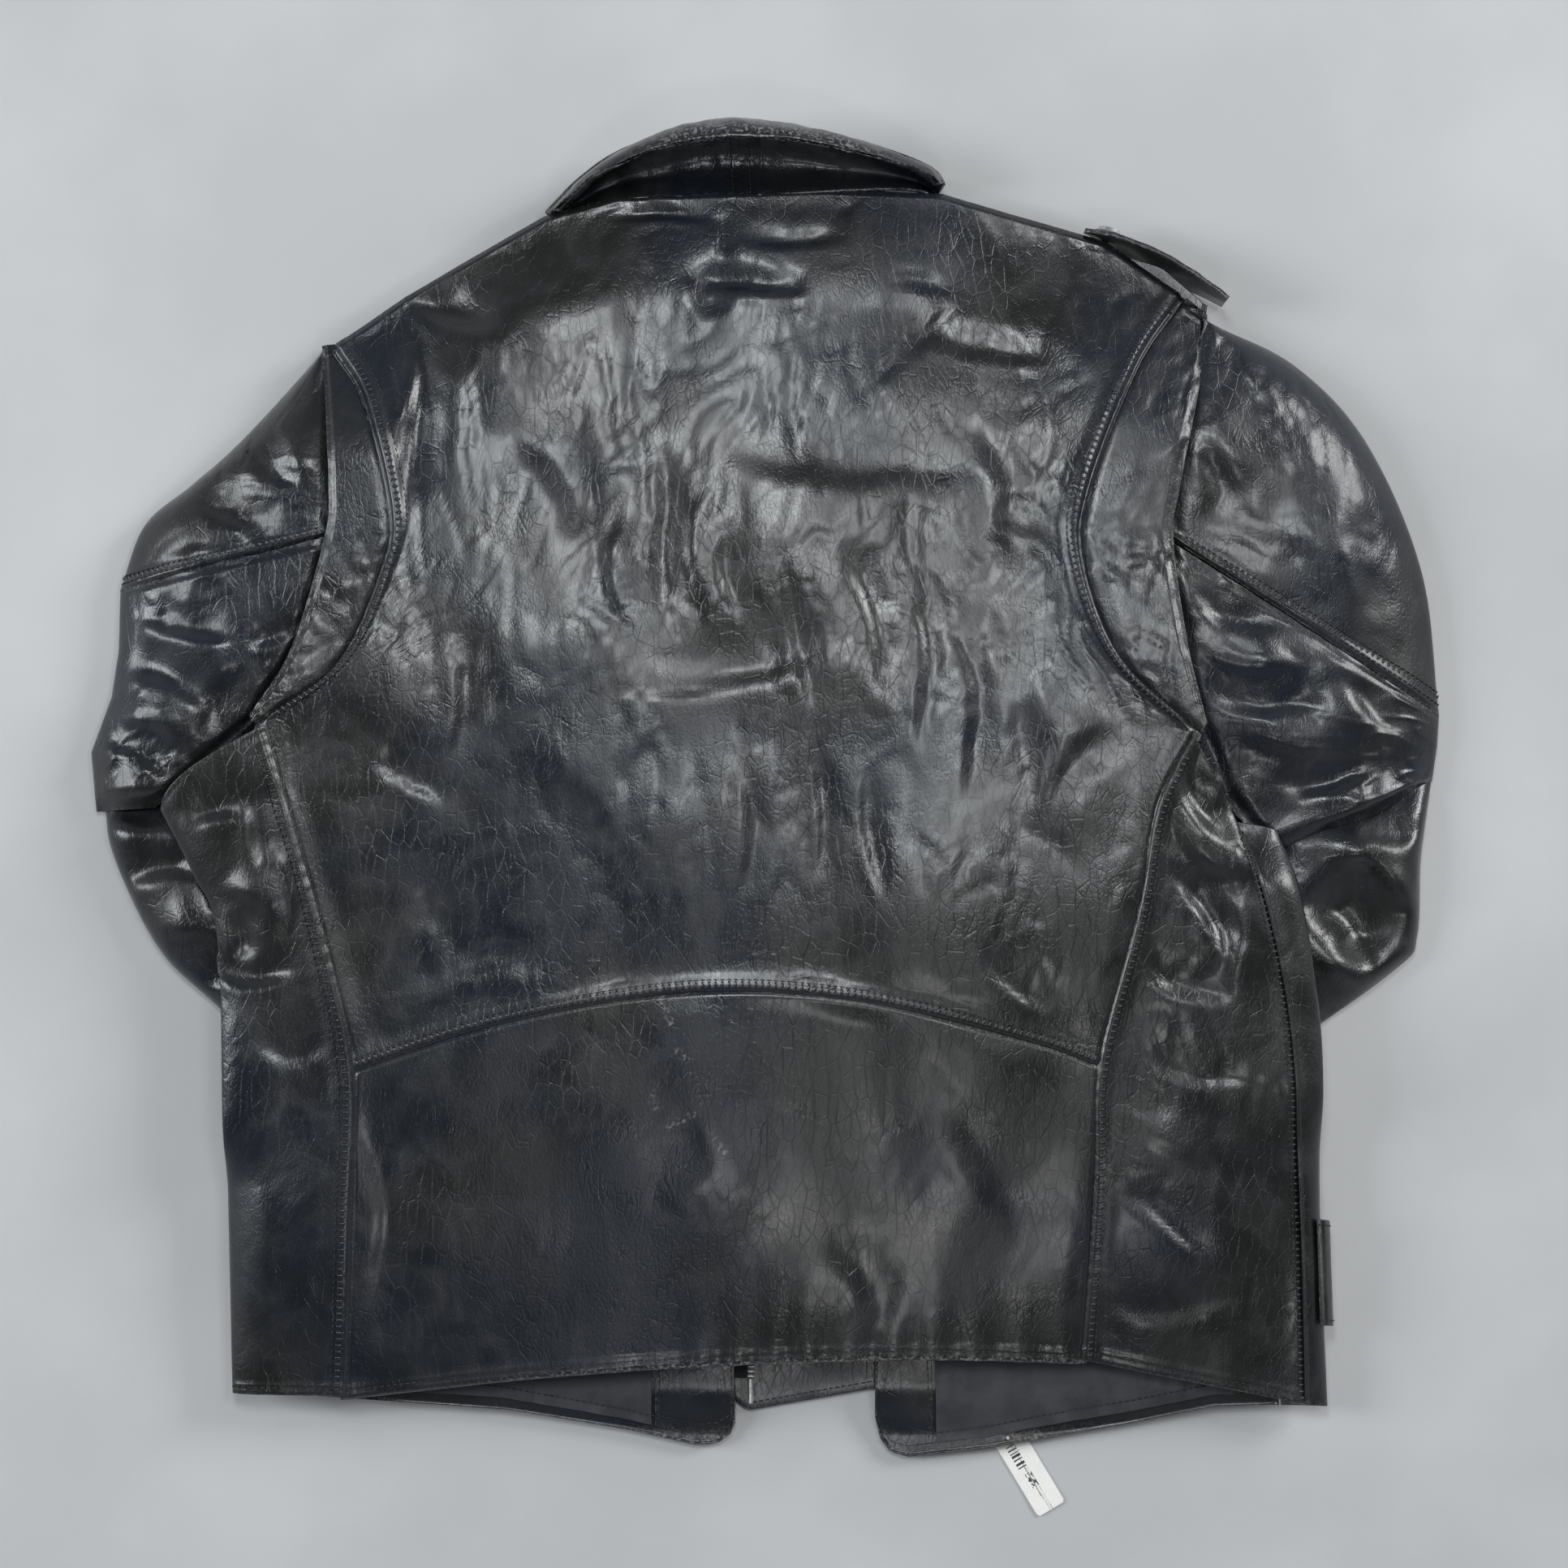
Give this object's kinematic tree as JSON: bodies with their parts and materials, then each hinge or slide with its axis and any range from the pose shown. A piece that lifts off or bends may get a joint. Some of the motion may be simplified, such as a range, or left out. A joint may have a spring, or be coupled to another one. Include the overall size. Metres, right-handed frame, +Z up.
{
  "type": "leather jacket",
  "caption": "Black leather biker jacket lying face down with the sleeves tucked under, lined, with curled collar, open front zip, belt and shop tag.",
  "frame": {"origin": "on the ground under the middle of the bounding box, with the jacket lying on its front", "axes": "+Z up from the ground, +Y towards the collar, +X towards the wearer's right sleeve"},
  "size_m": [0.7717, 0.801, 0.0777],
  "materials": {
    "leather": "semi-gloss black grained leather",
    "lining": "dark charcoal satin lining",
    "zip_tape": "woven black tape",
    "metal": "silver plated, lightly worn",
    "paper": "white paper card",
    "nylon": "clear nylon"
  },
  "bodies": {
    "root": {"upper_back_panel": "leather", "lower_back_panel": "leather", "left_action_gusset": "leather", "right_action_gusset": "leather", "left_side_panel": "leather", "right_side_panel": "leather", "right_front_edge_panel": "leather", "right_side_belt_loop": "leather", "left_front_panel": "leather", "left_front_facing": "leather", "left_front_lining": "lining", "right_front_panel": "leather", "right_front_facing": "leather", "right_front_lining": "lining", "back_lining": "lining", "left_upper_sleeve": "leather", "left_lower_sleeve": "leather", "right_upper_sleeve": "leather", "right_lower_sleeve": "leather", "left_forearm_sleeve": "leather", "left_cuff": "leather", "right_forearm_sleeve": "leather", "right_cuff": "leather", "collar_stand": "leather", "collar_fall": "leather", "belt_strap": "leather", "right_belt_loop_1": "leather", "right_belt_loop_2": "leather", "buckle_strap": "leather", "left_belt_loop_1": "leather", "left_belt_loop_2": "leather", "left_main_zip_teeth": "metal", "left_main_zip_tape": "zip_tape", "right_main_zip_teeth": "metal", "right_main_zip_tape": "zip_tape", "zip_insertion_pin": "metal", "zip_retainer_box": "metal", "left_pocket_zip_teeth": "metal", "left_pocket_zip_tape": "zip_tape", "right_pocket_zip_teeth": "metal", "right_pocket_zip_tape": "zip_tape", "tag_fastener": "nylon"},
    "main_zip_slider": {"main_zip_slider": "metal"},
    "main_zip_pull": {"main_zip_pull": "metal"},
    "left_pocket_slider": {"left_pocket_slider": "metal"},
    "left_pocket_pull": {"left_pocket_pull": "metal"},
    "right_pocket_slider": {"right_pocket_slider": "metal"},
    "right_pocket_pull": {"right_pocket_pull": "metal"},
    "belt_buckle_frame": {"belt_buckle_frame": "metal"},
    "belt_buckle_prong": {"belt_buckle_prong": "metal"},
    "paper_tag": {"paper_tag": "paper"},
    "right_epaulette": {"right_epaulette": "leather", "right_epaulette_snap": "metal"},
    "left_epaulette": {"left_epaulette": "leather", "left_epaulette_snap": "metal"}
  },
  "joints": [
    {"name": "main_zip_slide", "type": "slide", "parent": "root", "child": "main_zip_slider", "axis": [0, 1, 0], "range_m": [-0.071, 0.398]},
    {"name": "main_pull_swing", "type": "hinge", "parent": "main_zip_slider", "child": "main_zip_pull", "pos_m": [0.092, -0.24, 0.0071], "axis": [1, 0, 0], "range_deg": [0, 165]},
    {"name": "left_pocket_slide", "type": "slide", "parent": "root", "child": "left_pocket_slider", "axis": [-0.4067, -0.9135, 0], "range_m": [0, 0.1]},
    {"name": "left_pocket_pull_swing", "type": "hinge", "parent": "left_pocket_slider", "child": "left_pocket_pull", "pos_m": [-0.11126, 0.05259, 0.0071], "axis": [0.9135, -0.4067, 0], "range_deg": [0, 165]},
    {"name": "right_pocket_slide", "type": "slide", "parent": "root", "child": "right_pocket_slider", "axis": [0.4067, -0.9135, 0], "range_m": [0, 0.1]},
    {"name": "right_pocket_pull_swing", "type": "hinge", "parent": "right_pocket_slider", "child": "right_pocket_pull", "pos_m": [0.12926, 0.05259, 0.0071], "axis": [0.9135, 0.4067, 0], "range_deg": [0, 165]},
    {"name": "buckle_frame_swing", "type": "hinge", "parent": "root", "child": "belt_buckle_frame", "pos_m": [-0.13397, -0.29157, 0.0034], "axis": [0.1736, 0.9848, 0], "range_deg": [0, 120]},
    {"name": "buckle_prong_swing", "type": "hinge", "parent": "belt_buckle_frame", "child": "belt_buckle_prong", "pos_m": [-0.13397, -0.29157, 0.0034], "axis": [0.1736, 0.9848, 0], "range_deg": [0, 60]},
    {"name": "tag_swing", "type": "hinge", "parent": "root", "child": "paper_tag", "pos_m": [0.13909, -0.35214, 0.0006], "axis": [0, 0, 1], "range_deg": [-60, 40]},
    {"name": "right_epaulette_swing", "type": "hinge", "parent": "root", "child": "right_epaulette", "pos_m": [0.262, 0.296, 0.028], "axis": [0, 0, -1], "range_deg": [0, 60]},
    {"name": "left_epaulette_swing", "type": "hinge", "parent": "root", "child": "left_epaulette", "pos_m": [-0.226, 0.246, 0.0109], "axis": [-0.491, 0.8712, 0], "range_deg": [0, 60]}
  ]
}
